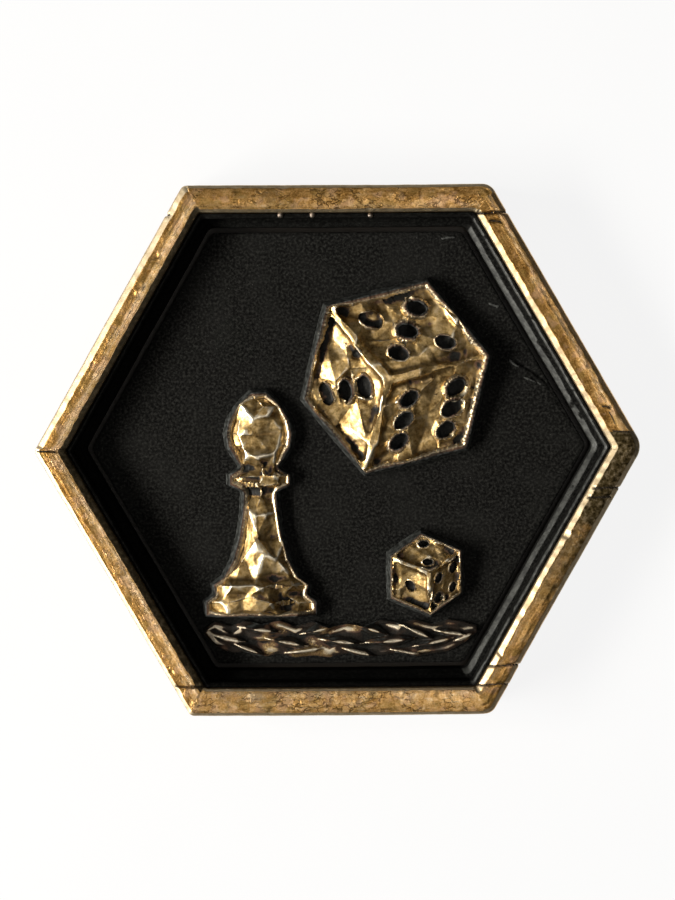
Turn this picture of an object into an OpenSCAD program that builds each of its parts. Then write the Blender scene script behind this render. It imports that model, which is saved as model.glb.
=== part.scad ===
// Hexagonal game token: a brass rim of six bars round a black recess with a raised relief.
// The token lies on its back. Z is up out of the face, X points to the right corner, Y to the top bar.

/* [Outline] */
// Width across the flats of the rim
across_flats = 39; // [30:0.5:60]
// Full height of the token
total_height = 5; // [4.6:0.1:8]
// Outer corner radius of the rim
corner_radius = 1.15; // [0.5:0.05:3]

/* [Rim bars] */
// Width of a bar, from the outer face to the inner face
rim_width = 2.05; // [1.6:0.05:3]
// Width of the chamfer on the outer top edge
outer_chamfer_width = 0.4; // [0.2:0.05:0.6]
// Height of the chamfer on the outer top edge
outer_chamfer_height = 0.25; // [0.2:0.05:0.8]
// Width of the bevel on the inner top edge
inner_bevel_width = 0.45; // [0.2:0.05:0.6]
// Height of the bevel on the inner top edge
inner_bevel_height = 0.3; // [0.2:0.05:0.8]
// How far the middle of a bar's top stands above its two edges
crown_rise = 0.1; // [0.02:0.01:0.2]
// Radius of the inner corners of the rim
rim_inner_radius = 0.3; // [0.1:0.05:1]
// Width of the hairline seams where two bars meet
seam_gap = 0.06; // [0.02:0.01:0.15]
// How far below the top bar's inner face its seams with the side bars lie
seam_drop = 0.15; // [0.05:0.05:0.5]

/* [Back plate] */
// Thickness of the plate under the bars
plate_thickness = 1; // [0.6:0.1:2]
// Height of the step that locates the bars from inside
step_height = 0.3; // [0.1:0.05:0.6]
// Chamfer round the bottom edge of the plate
plate_chamfer = 0.15; // [0.05:0.05:0.4]

/* [Liners] */
// Clearance between the rim and what sits inside it
fit_clearance = 0.05; // [0.02:0.01:0.15]
// Wall of the upper liner
upper_liner_wall = 0.35; // [0.3:0.05:0.8]
// How far the upper liner's top lies below the foot of the rim's inner bevel
upper_liner_drop = 0.15; // [0.05:0.05:0.4]
// Chamfer on the inner top edge of the upper liner
upper_liner_chamfer = 0.15; // [0.05:0.01:0.25]
// Wall of the lower liner
lower_liner_wall = 1; // [0.9:0.05:1.6]
// Height of the lower liner's ledge above the floor
ledge_height = 1; // [0.6:0.05:1.4]
// Chamfer on the inner top edge of the lower liner
lower_liner_chamfer = 0.35; // [0.1:0.05:0.5]
// Radius of the liners' inner corners
liner_inner_radius = 0.6; // [0.2:0.05:1.2]

/* [Floor panel] */
// Thickness of the panel
floor_thickness = 0.7; // [0.5:0.05:1.2]
// Width of the groove between the panel and the lower liner
groove_width = 0.35; // [0.15:0.05:0.6]
// Broken edge round the top of the panel
floor_edge_break = 0.08; // [0.02:0.01:0.2]

/* [Relief] */
// Height of the highest point of the relief above the floor
relief_height = 2.1; // [1.7:0.05:2.4]
// Height of the relief's side walls where they are lowest
relief_wall = 1; // [0.6:0.05:1.2]
// How far the foot of the relief's side walls stands out past their top
relief_draft = 0.35; // [0.1:0.05:0.5]
// How far the panels of a die lie below its edge bands
panel_drop = 0.25; // [0.05:0.01:0.35]
// Height of the facets above and below their mean surface
facet_height = 0.21; // [0.02:0.01:0.25]
// Depth of the dice's pips
pip_depth = 0.38; // [0.1:0.02:0.45]
// Height of the ground band's highest leaves above the floor
ground_height = 1.15; // [0.8:0.05:1.5]
// Height of the ground band's side walls
ground_wall = 0.3; // [0.2:0.05:0.5]
// Length of a full-sized leaf of the ground band
leaf_length = 5.4; // [4:0.2:7]
// Width of a full-sized leaf of the ground band
leaf_width = 1.5; // [1:0.1:2]
// Gap between the ground band and what stands on it
stand_gap = 0.08; // [0.04:0.01:0.3]

/* [Pegs] */
// Diameter of the locating pegs under the relief pieces
peg_diameter = 0.9; // [0.6:0.05:1.2]
// Radial clearance of a peg in its hole
peg_clearance = 0.04; // [0.02:0.01:0.1]
// How far a peg stops short of the panel's underside
peg_short = 0.1; // [0.05:0.05:0.3]

/* [Hidden] */
$fn = 48;

brass = "#9a7a42";
black = "#1d1d1b";
old_gold = "#b08d4c";

// How far a cutting shape runs past what it cuts
overrun = 0.5;
sides = 6;
corner_angle = 360 / sides;
half_angle = corner_angle / 2;
arc_steps = 6;
outer_apothem = across_flats / 2;
outer_reach = outer_apothem / cos(half_angle);
rim_apothem = outer_apothem - rim_width;
bevel_foot = total_height - crown_rise - inner_bevel_height;
seam_y = rim_apothem - seam_drop;

inside_apothem = rim_apothem - fit_clearance;
step_top = plate_thickness + step_height;
floor_top = step_top + floor_thickness;
ledge_top = floor_top + ledge_height;
upper_liner_top = bevel_foot - upper_liner_drop;
well_apothem = inside_apothem - lower_liner_wall;
floor_apothem = well_apothem - groove_width;
peg_root = min(relief_wall, ground_wall) / 2;
peg_length = floor_thickness - peg_short;

// Layout of the relief, as shares of the floor's apothem, from its centre
large_die_place_shares = [0.27, 0.33];
large_die_edge_share = 0.56;
small_die_edge_share = 0.235;
small_die_x_share = 0.4;
pawn_x_share = -0.37;
pawn_height_share = 1.03;
ground_top_share = -0.795;
ground_bottom_share = -0.97;
ground_top_y = ground_top_share * floor_apothem;
ground_bottom_y = ground_bottom_share * floor_apothem;
stand_y = ground_top_y + stand_gap + relief_draft;

// Grid lines across a die's face, as shares of its edge: two close lines at each side make its edge band
large_die_line_shares = [0, 0.055, 0.1, 0.3, 0.5, 0.7, 0.9, 0.945, 1];
small_die_line_shares = [0, 0.08, 0.135, 0.5, 0.865, 0.92, 1];
// How a die is turned: about Z, then tipped about X, then about Z again
large_die_angles = [40, 52, 166];
small_die_angles = [52, 58, 180];
large_die_pips = [5, 3, 6];
small_die_pips = [2, 1, 4];
large_die_seed = 23;
small_die_seed = 5;
large_die_slide_share = 0.045;
small_die_slide_share = 0.06;
large_pip_share = 0.085;
small_pip_share = 0.105;
pip_sides = 8;

// Places of the pips on a face, as shares of its edge, for one to six pips
near_share = 0.27;
mid_share = 0.5;
far_share = 0.73;
pip_place_shares = [
    [[mid_share, mid_share]],
    [[near_share, near_share], [far_share, far_share]],
    [[near_share, near_share], [mid_share, mid_share], [far_share, far_share]],
    [[near_share, near_share], [near_share, far_share], [far_share, near_share], [far_share, far_share]],
    [[near_share, near_share], [near_share, far_share], [mid_share, mid_share], [far_share, near_share],
        [far_share, far_share]],
    [[near_share, near_share], [mid_share, near_share], [far_share, near_share], [near_share, far_share],
        [mid_share, far_share], [far_share, far_share]]];

// Outline of the pawn from its foot up, as shares of its height: how high, and half its width there
pawn_outline_shares = [[0, 0.25], [0.065, 0.25], [0.095, 0.205], [0.14, 0.215], [0.175, 0.165],
    [0.25, 0.125], [0.36, 0.094], [0.47, 0.076], [0.555, 0.074], [0.585, 0.135], [0.635, 0.135],
    [0.665, 0.078], [0.7, 0.105], [0.755, 0.138], [0.815, 0.148], [0.88, 0.134], [0.945, 0.092], [1, 0.035]];
// Places across the pawn, as shares of its half width, and how much of the crown each one has
pawn_across_shares = [-1, -0.66, 0, 0.66, 1];
pawn_crown_shares = [0, 0.72, 1, 0.72, 0];
pawn_seed = 11;
pawn_slide_share = 0.3;
pawn_peg_shares = [0.1, 0.8];

// Outline of the ground band from left to right: place along the floor's lower edge, bottom and top, as
// shares of the band's half length, and of its height above its lower line
ground_half_share = 0.64;
ground_outline_shares = [[-1, 0.6, 0.78], [-0.92, 0.32, 0.98], [-0.8, 0.12, 0.86], [-0.7, 0.16, 1],
    [-0.57, 0.03, 0.9], [-0.45, 0.1, 1], [-0.33, 0, 0.84], [-0.2, 0.05, 0.97], [-0.08, 0, 0.82],
    [0.05, 0.1, 0.9], [0.17, 0, 0.84], [0.3, 0.04, 1], [0.42, 0.12, 0.92], [0.55, 0, 1],
    [0.67, 0.08, 0.88], [0.79, 0.14, 1], [0.91, 0.36, 0.92], [1, 0.62, 0.82]];
ground_across_shares = [0, 0.2, 0.42, 0.64, 0.84, 1];
ground_slide_share = 0.07;
ground_facet_share = 0.35;
ground_seed = 31;
// Leaves of the ground band: place along it and across it, then length, width and height, as shares of the
// band's half length, its depth and the size of a full leaf
leaf_shares = [[-0.84, 0.55, 0.8, 0.9, 0.85], [-0.7, 0.28, 0.9, 0.8, 0.8], [-0.6, 0.78, 0.9, 1, 1],
    [-0.42, 0.45, 1.1, 0.9, 0.9], [-0.28, 0.2, 0.9, 0.8, 0.75], [-0.17, 0.75, 0.8, 1, 1],
    [-0.02, 0.45, 1, 0.9, 0.9], [0.1, 0.18, 0.9, 0.8, 0.7], [0.2, 0.8, 0.9, 0.9, 0.95],
    [0.34, 0.45, 1.1, 1, 1], [0.45, 0.16, 0.8, 0.7, 0.7], [0.54, 0.72, 0.9, 0.9, 0.9],
    [0.67, 0.4, 1, 0.9, 0.95], [0.79, 0.66, 0.8, 0.8, 0.85], [0.88, 0.5, 0.6, 0.8, 0.75]];
leaf_turns = [-12, -20, -6, -10, 8, 14, -6, -14, -18, 5, -10, -24, 12, -8, 20];
// Length of a leaf's level crest and how far its widest place lies off its middle, as shares of its length
leaf_crest_share = 0.3;
leaf_shift_share = 0.08;
ground_peg_shares = [-0.6, 0.6];

// Sizes and places of the relief pieces
large_die_center = large_die_place_shares * floor_apothem;
large_die_edge = large_die_edge_share * floor_apothem;
small_die_edge = small_die_edge_share * floor_apothem;
large_edges = die_edges(large_die_edge, large_die_angles);
small_edges = die_edges(small_die_edge, small_die_angles);
small_die_center = [small_die_x_share * floor_apothem,
    stand_y + die_middle(small_edges).y - die_foot(small_edges)];
pawn_height = pawn_height_share * floor_apothem;
pawn_x = pawn_x_share * floor_apothem;
ground_half = ground_half_share * floor_apothem;
ground_depth = ground_top_y - ground_bottom_y;

// Where the pegs of each relief piece stand
large_die_pegs = [for (side = [-1, 1]) large_die_center + [side * large_die_edge / 2, 0]];
small_die_pegs = [small_die_center];
pawn_pegs = [for (share = pawn_peg_shares) [pawn_x, stand_y + share * pawn_height]];
ground_pegs = [for (share = ground_peg_shares) [share * ground_half, ground_bottom_y + ground_depth / 2]];

// Points of a hexagon with round corners
function hex_outline(apothem, radius) = [for (corner = [0 : sides - 1], step = [0 : arc_steps])
    let (turn = corner * corner_angle, aim = turn - half_angle + corner_angle * step / arc_steps)
    (apothem - radius) / cos(half_angle) * [cos(turn), sin(turn)] + radius * [cos(aim), sin(aim)]];

// The same, lifted: a level is an apothem, a corner radius and a height
function hex_level(level) = [for (p = hex_outline(level[0], level[1])) [p.x, p.y, level[2]]];

function hex_band_faces(low, high, count) = [for (j = [0 : count - 1])
    let (next = (j + 1) % count)
    [low * count + j, high * count + j, high * count + next, low * count + next]];

// Solid through a stack of hexagon levels, from the lowest up
module hex_stack(levels) {
    count = sides * (arc_steps + 1);
    top = len(levels) - 1;
    points = [for (level = levels) each hex_level(level)];
    walls = [for (i = [0 : top - 1]) each hex_band_faces(i, i + 1, count)];
    floor_face = [for (j = [0 : count - 1]) j];
    top_face = [for (j = [count - 1 : -1 : 0]) top * count + j];
    polyhedron(points, concat(walls, [floor_face, top_face]));
}

// Ring through a closed loop of hexagon levels, which runs up the outside and down the inside
module hex_ring(levels) {
    count = sides * (arc_steps + 1);
    points = [for (level = levels) each hex_level(level)];
    faces = [for (i = [0 : len(levels) - 1]) each hex_band_faces(i, (i + 1) % len(levels), count)];
    polyhedron(points, faces);
}

function rim_radius(offset) = max(corner_radius - offset, rim_inner_radius);

module rim_ring() {
    crown_offset = (outer_chamfer_width + rim_width - inner_bevel_width) / 2;
    bevel_offset = rim_width - inner_bevel_width;
    edge_top = total_height - crown_rise;
    section = [[0, plate_thickness], [0, edge_top - outer_chamfer_height], [outer_chamfer_width, edge_top],
        [crown_offset, total_height], [bevel_offset, edge_top], [rim_width, bevel_foot],
        [rim_width, plate_thickness]];
    hex_ring([for (p = section) [outer_apothem - p[0], rim_radius(p[0]), p[1]]]);
}

// The part of the rim with Y between two limits and X on one side of zero, or on both
module rim_part(low_y, high_y, side) {
    low_x = side > 0 ? 0 : -outer_reach;
    high_x = side < 0 ? 0 : outer_reach;
    color(brass) intersection() {
        rim_ring();
        translate([low_x, low_y, 0]) cube([high_x - low_x, high_y - low_y, total_height + overrun]);
    }
}

module rim_top() {
    rim_part(seam_y + seam_gap / 2, outer_reach, 0);
}

module rim_bottom() {
    mirror([0, 1, 0]) rim_top();
}

module rim_upper_right() {
    rim_part(seam_gap / 2, seam_y - seam_gap / 2, 1);
}

module rim_upper_left() {
    rim_part(seam_gap / 2, seam_y - seam_gap / 2, -1);
}

module rim_lower_right() {
    mirror([0, 1, 0]) rim_upper_right();
}

module rim_lower_left() {
    mirror([0, 1, 0]) rim_upper_left();
}

module base_plate() {
    color(brass) hex_stack([
        [outer_apothem - plate_chamfer, max(corner_radius - plate_chamfer, rim_inner_radius), 0],
        [outer_apothem, corner_radius, plate_chamfer],
        [outer_apothem, corner_radius, plate_thickness],
        [inside_apothem, rim_inner_radius, plate_thickness],
        [inside_apothem, rim_inner_radius, step_top]]);
}

module liner_upper() {
    inner = inside_apothem - upper_liner_wall;
    color(black) hex_ring([
        [inside_apothem, rim_inner_radius, ledge_top],
        [inside_apothem, rim_inner_radius, upper_liner_top],
        [inner + upper_liner_chamfer, rim_inner_radius, upper_liner_top],
        [inner, rim_inner_radius, upper_liner_top - upper_liner_chamfer],
        [inner, rim_inner_radius, ledge_top]]);
}

module liner_lower() {
    color(black) hex_ring([
        [inside_apothem, rim_inner_radius, step_top],
        [inside_apothem, rim_inner_radius, ledge_top],
        [well_apothem + lower_liner_chamfer, liner_inner_radius, ledge_top],
        [well_apothem, liner_inner_radius, ledge_top - lower_liner_chamfer],
        [well_apothem, liner_inner_radius, step_top]]);
}

module pegs(places) {
    for (place = places)
        translate([place.x, place.y, floor_top - peg_length])
            cylinder(d = peg_diameter, h = peg_length + peg_root);
}

module floor_panel() {
    color(black) difference() {
        hex_stack([
            [floor_apothem, liner_inner_radius, step_top],
            [floor_apothem, liner_inner_radius, floor_top - floor_edge_break],
            [floor_apothem - floor_edge_break, liner_inner_radius - floor_edge_break, floor_top]]);
        for (place = concat(large_die_pegs, small_die_pegs, pawn_pegs, ground_pegs))
            translate([place.x, place.y, step_top - overrun])
                cylinder(d = peg_diameter + 2 * peg_clearance, h = floor_thickness + 2 * overrun);
    }
}

// A die pressed flat: the three faces that meet at its nearest corner, seen along Z
function turned(v, angles) =
    let (a = angles[0], b = angles[1], spin = angles[2],
        first = [v.x * cos(a) - v.y * sin(a), v.x * sin(a) + v.y * cos(a), v.z],
        second = [first.x, first.y * cos(b) - first.z * sin(b), first.y * sin(b) + first.z * cos(b)])
    [second.x * cos(spin) - second.y * sin(spin), second.x * sin(spin) + second.y * cos(spin), second.z];

// The three edges that run from the nearest corner away from the viewer
function die_edges(edge, angles) = [for (axis = [[-1, 0, 0], [0, -1, 0], [0, 0, -1]])
    edge * turned(axis, angles)];

function die_corners(edges) = [for (f = [0 : 2]) each [edges[f], edges[f] + edges[(f + 1) % 3]]];

function die_middle(edges) =
    let (xs = [for (c = die_corners(edges)) c.x], ys = [for (c = die_corners(edges)) c.y])
    [(min(xs) + max(xs)) / 2, (min(ys) + max(ys)) / 2];

function die_low(edges) = min([for (c = die_corners(edges)) c.z]);

function die_foot(edges) = min([for (c = die_corners(edges)) c.y]);

// Height of a point of a face before its facets are shaped
function die_height(point, low) = floor_top + relief_wall
    + (relief_height - relief_wall) * (1 - point.z / low);

module die(edges, center, lines, seed, slide_share, pips, pip_share, pegs_at) {
    last = len(lines) - 1;
    low = die_low(edges);
    shift = [center.x, center.y, 0] - [die_middle(edges).x, die_middle(edges).y, 0];
    lifts = rands(-facet_height, facet_height, 3 * (last + 1) * (last + 1), seed);
    slides = rands(-slide_share, slide_share, 6 * (last + 1) * (last + 1), seed + 1);

    function banded(i) = i < 2 || i > last - 2;
    function loose(i) = i > 2 && i < last - 2;
    function cell(f, i, j) = (f * (last + 1) + i) * (last + 1) + j;
    function raw(f, u, v) = edges[f] * u + edges[(f + 1) % 3] * v;
    function at(f, i, j) =
        let (k = cell(f, i, j),
            du = loose(i) && loose(j) ? slides[2 * k] : 0,
            dv = loose(i) && loose(j) ? slides[2 * k + 1] : 0,
            p = raw(f, lines[i] + du, lines[j] + dv),
            drop = banded(i) || banded(j) ? 0 : panel_drop - lifts[k])
        [p.x + shift.x, p.y + shift.y, die_height(p, low) - drop];

    // Numbers of the points: the near corner, the three near edges, then the faces
    function id(f, i, j) = i == 0 && j == 0 ? 0
        : j == 0 ? 1 + f * last + i - 1
        : i == 0 ? 1 + ((f + 1) % 3) * last + j - 1
        : 1 + 3 * last + (f * last + i - 1) * last + j - 1;

    surface = concat([at(0, 0, 0)],
        [for (f = [0 : 2], i = [1 : last]) at(f, i, 0)],
        [for (f = [0 : 2], i = [1 : last], j = [1 : last]) at(f, i, j)]);
    rim_ids = [for (f = [0 : 2]) each concat(
        [for (j = [0 : last]) id(f, last, j)],
        [for (i = [last - 1 : -1 : 1]) id(f, i, last)])];
    count = len(rim_ids);
    first_low = len(surface);
    function foot(p) =
        let (away = [p.x - center.x, p.y - center.y], out = relief_draft * away / norm(away))
        [p.x + out.x, p.y + out.y, floor_top];
    points = concat(surface, [for (k = rim_ids) foot(surface[k])],
        [[surface[0].x, surface[0].y, floor_top]]);
    tops = [for (f = [0 : 2], i = [0 : last - 1], j = [0 : last - 1])
        each (i + j + f) % 2 == 0
            ? [[id(f, i, j), id(f, i + 1, j + 1), id(f, i + 1, j)],
                [id(f, i, j), id(f, i, j + 1), id(f, i + 1, j + 1)]]
            : [[id(f, i, j), id(f, i, j + 1), id(f, i + 1, j)],
                [id(f, i, j + 1), id(f, i + 1, j + 1), id(f, i + 1, j)]]];
    walls = [for (k = [0 : count - 1]) let (n = (k + 1) % count)
        each [[rim_ids[k], rim_ids[n], first_low + n], [rim_ids[k], first_low + n, first_low + k]]];
    bottom = [for (k = [0 : count - 1]) [first_low + count, first_low + k, first_low + (k + 1) % count]];

    color(old_gold) {
        difference() {
            polyhedron(points, concat(tops, walls, bottom));
            for (f = [0 : 2], place = pip_place_shares[pips[f] - 1])
                let (p = raw(f, place[0], place[1]))
                translate([shift.x, shift.y, die_height(p, low) - panel_drop - pip_depth])
                    linear_extrude(relief_height)
                        polygon([for (k = [0 : pip_sides - 1])
                            let (a = 360 * k / pip_sides,
                                q = raw(f, place[0] + pip_share * cos(a), place[1] + pip_share * sin(a)))
                            [q.x, q.y]]);
        }
        pegs(pegs_at);
    }
}

module large_die() {
    die(large_edges, large_die_center, large_die_line_shares, large_die_seed, large_die_slide_share,
        large_die_pips, large_pip_share, large_die_pegs);
}

module small_die() {
    die(small_edges, small_die_center, small_die_line_shares, small_die_seed, small_die_slide_share,
        small_die_pips, small_pip_share, small_die_pegs);
}

function plan(p) = [p.x, p.y];

function unit(v) = v / norm(v);

// Solid under a grid of points: rows of equal length, over a flat underside that stands out by the draft
module faceted_sheet(rows, low, draft) {
    m = len(rows) - 1;
    n = len(rows[0]) - 1;
    middle = floor(n / 2);
    first_low = (m + 1) * (n + 1);
    function id(i, j) = i * (n + 1) + j;
    function low_id(i, end) = first_low + 2 * i + end;
    function foot(i, near, far) =
        let (out = unit(plan(rows[i][near] - rows[i][far])),
            beyond = i == 0 ? unit(plan(rows[0][near] - rows[1][near]))
                : i == m ? unit(plan(rows[m][near] - rows[m - 1][near])) : [0, 0],
            p = plan(rows[i][near]) + draft * unit(out + beyond))
        [p.x, p.y, low];
    points = concat([for (row = rows) each row],
        [for (i = [0 : m]) each [foot(i, 0, n), foot(i, n, 0)]]);
    tops = [for (i = [0 : m - 1], j = [0 : n - 1])
        each (i + j) % 2 == 0
            ? [[id(i, j), id(i + 1, j), id(i + 1, j + 1)], [id(i, j), id(i + 1, j + 1), id(i, j + 1)]]
            : [[id(i, j), id(i + 1, j), id(i, j + 1)], [id(i + 1, j), id(i + 1, j + 1), id(i, j + 1)]]];
    left = [for (i = [0 : m - 1])
        each [[id(i, 0), low_id(i, 0), low_id(i + 1, 0)], [id(i, 0), low_id(i + 1, 0), id(i + 1, 0)]]];
    right = [for (i = [0 : m - 1])
        each [[id(i, n), id(i + 1, n), low_id(i + 1, 1)], [id(i, n), low_id(i + 1, 1), low_id(i, 1)]]];
    under = [for (i = [0 : m - 1]) [low_id(i, 0), low_id(i, 1), low_id(i + 1, 1), low_id(i + 1, 0)]];
    first_end = concat([for (j = [0 : n - 1]) [id(0, j), id(0, j + 1), low_id(0, j < middle ? 0 : 1)]],
        [[id(0, middle), low_id(0, 1), low_id(0, 0)]]);
    last_end = concat([for (j = [0 : n - 1]) [id(m, j + 1), id(m, j), low_id(m, j < middle ? 0 : 1)]],
        [[id(m, middle), low_id(m, 0), low_id(m, 1)]]);
    polyhedron(points, concat(tops, left, right, under, first_end, last_end));
}

module pawn() {
    rows = len(pawn_outline_shares);
    columns = len(pawn_across_shares);
    lifts = rands(-facet_height, facet_height, rows * columns, pawn_seed);
    slides = rands(-pawn_slide_share, pawn_slide_share, rows, pawn_seed + 1);
    widest = max([for (p = pawn_outline_shares) p[1]]);
    grid = [for (i = [0 : rows - 1])
        let (p = pawn_outline_shares[i], half = p[1] * pawn_height, full = sqrt(p[1] / widest))
        [for (j = [0 : columns - 1])
            let (inner = j > 0 && j < columns - 1,
                slide = inner && i > 0 && i < rows - 1 ? slides[i] * (1 - abs(pawn_across_shares[j])) : 0,
                crown = (relief_height - relief_wall) * full * pawn_crown_shares[j],
                lift = inner ? lifts[i * columns + j] - facet_height : 0)
            [pawn_x + half * (pawn_across_shares[j] + slide), stand_y + p[0] * pawn_height,
                floor_top + relief_wall + max(crown + lift, 0)]]];
    color(old_gold) {
        faceted_sheet(grid, floor_top, relief_draft);
        pegs(pawn_pegs);
    }
}

// Long low ridge that tapers to both ends
module leaf(length, width, height) {
    tip = length / 2;
    side = width / 2;
    widest = leaf_shift_share * length;
    crest = leaf_crest_share * length / 2;
    points = [[-tip, 0, 0], [widest, side, 0], [tip, 0, 0], [widest, -side, 0], [widest - crest, 0, height],
        [widest + crest, 0, height]];
    polyhedron(points, [[0, 1, 4], [4, 1, 5], [5, 1, 2], [0, 4, 3], [4, 5, 3], [5, 2, 3], [0, 3, 2, 1]]);
}

module leaves() {
    for (k = [0 : len(leaf_shares) - 1])
        let (p = leaf_shares[k])
            translate([p[0] * ground_half, ground_bottom_y + p[1] * ground_depth, floor_top])
                rotate(leaf_turns[k])
                    leaf(p[2] * leaf_length, p[3] * leaf_width, p[4] * ground_height);
}

module ground_band() {
    stations = len(ground_outline_shares);
    columns = len(ground_across_shares);
    lifts = rands(0, 1, stations * columns, ground_seed);
    slides = rands(-ground_slide_share, ground_slide_share, stations * columns, ground_seed + 1);
    grid = [for (i = [0 : stations - 1])
        let (p = ground_outline_shares[i], low_y = ground_bottom_y + p[1] * ground_depth,
            high_y = ground_bottom_y + p[2] * ground_depth)
        [for (j = [columns - 1 : -1 : 0])
            let (inner = j > 0 && j < columns - 1,
                k = i * columns + j,
                lift = inner ? ground_facet_share * (ground_height - ground_wall) * lifts[k] : 0,
                across = ground_across_shares[j] + (inner ? slides[k] : 0))
            [p[0] * ground_half, low_y + (high_y - low_y) * across, floor_top + ground_wall + lift]]];
    outline = concat([for (row = grid) plan(row[0])],
        [for (i = [stations - 1 : -1 : 0]) plan(grid[i][columns - 1])]);
    color(old_gold) {
        faceted_sheet(grid, floor_top, 0);
        intersection() {
            leaves();
            translate([0, 0, floor_top]) linear_extrude(ground_height) polygon(outline);
        }
        pegs(ground_pegs);
    }
}

base_plate();
rim_top();
rim_bottom();
rim_upper_left();
rim_lower_left();
rim_upper_right();
rim_lower_right();
liner_upper();
liner_lower();
floor_panel();
large_die();
small_die();
pawn();
ground_band();
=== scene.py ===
import functools
import itertools
from math import copysign, cos, radians, sin

import bmesh
import bpy
import numpy as np
from mathutils import Matrix, Vector
from mathutils.geometry import delaunay_2d_cdt
from numpy.linalg import norm

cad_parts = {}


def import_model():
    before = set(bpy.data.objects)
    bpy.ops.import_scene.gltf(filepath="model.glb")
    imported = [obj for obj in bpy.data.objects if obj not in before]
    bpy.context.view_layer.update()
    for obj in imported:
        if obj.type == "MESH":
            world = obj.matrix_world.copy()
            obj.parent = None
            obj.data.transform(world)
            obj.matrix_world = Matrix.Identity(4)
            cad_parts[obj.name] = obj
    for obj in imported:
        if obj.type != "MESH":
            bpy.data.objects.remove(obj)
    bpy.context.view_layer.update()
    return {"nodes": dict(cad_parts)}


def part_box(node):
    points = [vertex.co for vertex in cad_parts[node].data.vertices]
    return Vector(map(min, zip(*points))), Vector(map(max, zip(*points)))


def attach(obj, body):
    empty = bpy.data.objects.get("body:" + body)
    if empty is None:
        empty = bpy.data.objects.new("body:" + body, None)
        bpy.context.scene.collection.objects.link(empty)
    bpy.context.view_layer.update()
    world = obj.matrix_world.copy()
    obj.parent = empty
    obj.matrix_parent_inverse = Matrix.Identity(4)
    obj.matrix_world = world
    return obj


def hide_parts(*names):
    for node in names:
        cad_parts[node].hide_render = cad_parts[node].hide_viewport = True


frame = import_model()

# Lengths are millimetres, and meshes are scaled by this as they are made
MM = 0.001


def low_mm(node):
    return np.array(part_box(node)[0]) / MM


def high_mm(node):
    return np.array(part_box(node)[1]) / MM


# Main sizes, from the frame
OUTER_APOTHEM = high_mm("rim_top")[1]
PLATE_TOP = low_mm("rim_top")[2]
TOP = high_mm("rim_top")[2]
SEAM_Y = high_mm("rim_upper_right")[1]
INSIDE_APOTHEM = high_mm("liner_upper")[1]
UPPER_LINER_TOP = high_mm("liner_upper")[2]
LEDGE_TOP = high_mm("liner_lower")[2]
STEP_TOP = low_mm("liner_lower")[2]
FLOOR_TOP = high_mm("floor_panel")[2]

# Section of the rim
RIM_WIDTH = 2.05
CHAMFER_WIDTH = 0.4
CHAMFER_HEIGHT = 0.25
BEVEL_WIDTH = 0.45
BEVEL_HEIGHT = 0.3
CROWN_STEPS = 16
CROWN_POWER = 1.15
CROWN_BULGE = 0.088
CROWN_RIDGE = -0.12
CROWN_RISE = 0.1
INNER_RADIUS = 0.3
# Rows along each side of the outline and round each corner
RIM_ROWS = (210, 6)

# Sections of the liners and the back plate
UPPER_LINER_WALL = 0.35
UPPER_LINER_CHAMFER = 0.15
LOWER_LINER_WALL = 1.0
LOWER_LINER_CHAMFER = 0.35
LINER_RADIUS = 0.6
PLATE_CHAMFER = 0.15
LINER_OUTSIDE = OUTER_APOTHEM - INSIDE_APOTHEM
LINER_ROWS = (120, 6)
PLATE_ROWS = (44, 4)

# Radius of each corner of the outline, and how far it sits off a true hexagon, from the right corner on,
# against the clock
CORNER_RADII = [1.5, 1.1, 0.55, 0.65, 0.5, 0.95]
CORNER_SHIFTS = [(-0.08, 0.13), (0.0, 0.01), (-0.02, 0.07), (0.05, 0.15), (0.07, -0.16), (-0.02, -0.2)]

# Angles of a hexagon, in degrees
SIDES = 6
CORNER_ANGLE = 60
HALF_ANGLE = 30
HALF_COSINE = cos(radians(HALF_ANGLE))

# Points of a solid that lie closer than this are one point
JOIN_DISTANCE = 1e-4

# Angles over which edges stay sharp, in degrees
RIM_SHARP = 60
LINER_SHARP = 18
PLATE_SHARP = 40


# Noise and shaping functions

def smoothstep(low, high, value):
    t = np.clip((value - low) / (high - low), 0, 1)
    return t * t * (3 - 2 * t)


def window(value, start, full, fade, end):
    """Rises from 0 to 1 between start and full, and falls back between fade and end"""
    return smoothstep(start, full, value) * (1 - smoothstep(fade, end, value))


def bowl(distance):
    """Round dip, 1 deep at its middle and flat from a distance of 1 on"""
    return np.clip(1 - distance ** 2, 0, 1) ** 2


def hashed(cell, seed):
    n = cell[..., 0] * 374761393 + cell[..., 1] * 668265263 + cell[..., 2] * 1440662683 + seed * 362437
    n = (n ^ (n >> 13)) & 0xFFFFFFFF
    n = (n * 1274126177) & 0xFFFFFFFF
    n = n ^ (n >> 16)
    return (n & 0xFFFF) / 32767.5 - 1


def value_noise(points, seed):
    """Smooth noise from -1 to 1 with one lattice cell per unit"""
    base = np.floor(points)
    cell = base.astype(np.int64)
    w = points - base
    w = w * w * (3 - 2 * w)
    total = np.zeros(points.shape[:-1])
    for corner in itertools.product((0, 1), repeat=3):
        share = np.ones(points.shape[:-1])
        for axis, side in enumerate(corner):
            share = share * (w[..., axis] if side else 1 - w[..., axis])
        total += share * hashed(cell + np.array(corner), seed)
    return total


def layered_noise(points, seed, layers=3):
    return sum(value_noise(points * 2 ** k, seed + k) * 0.5 ** k for k in range(layers))


def segment_distance(points, ends):
    """Distance in plan from each point to a segment"""
    start, end = np.reshape(ends, (2, 2))
    along = end - start
    t = np.clip(((points[..., :2] - start) @ along) / (along @ along), 0, 1)
    return norm(points[..., :2] - start - t[..., None] * along, axis=-1)


def lattice(low, high, pitch):
    """Rows of places in plan"""
    return np.stack(np.meshgrid(*[np.arange(a, b, pitch) for a, b in zip(low, high)]), axis=-1)


# Mesh functions

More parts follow.
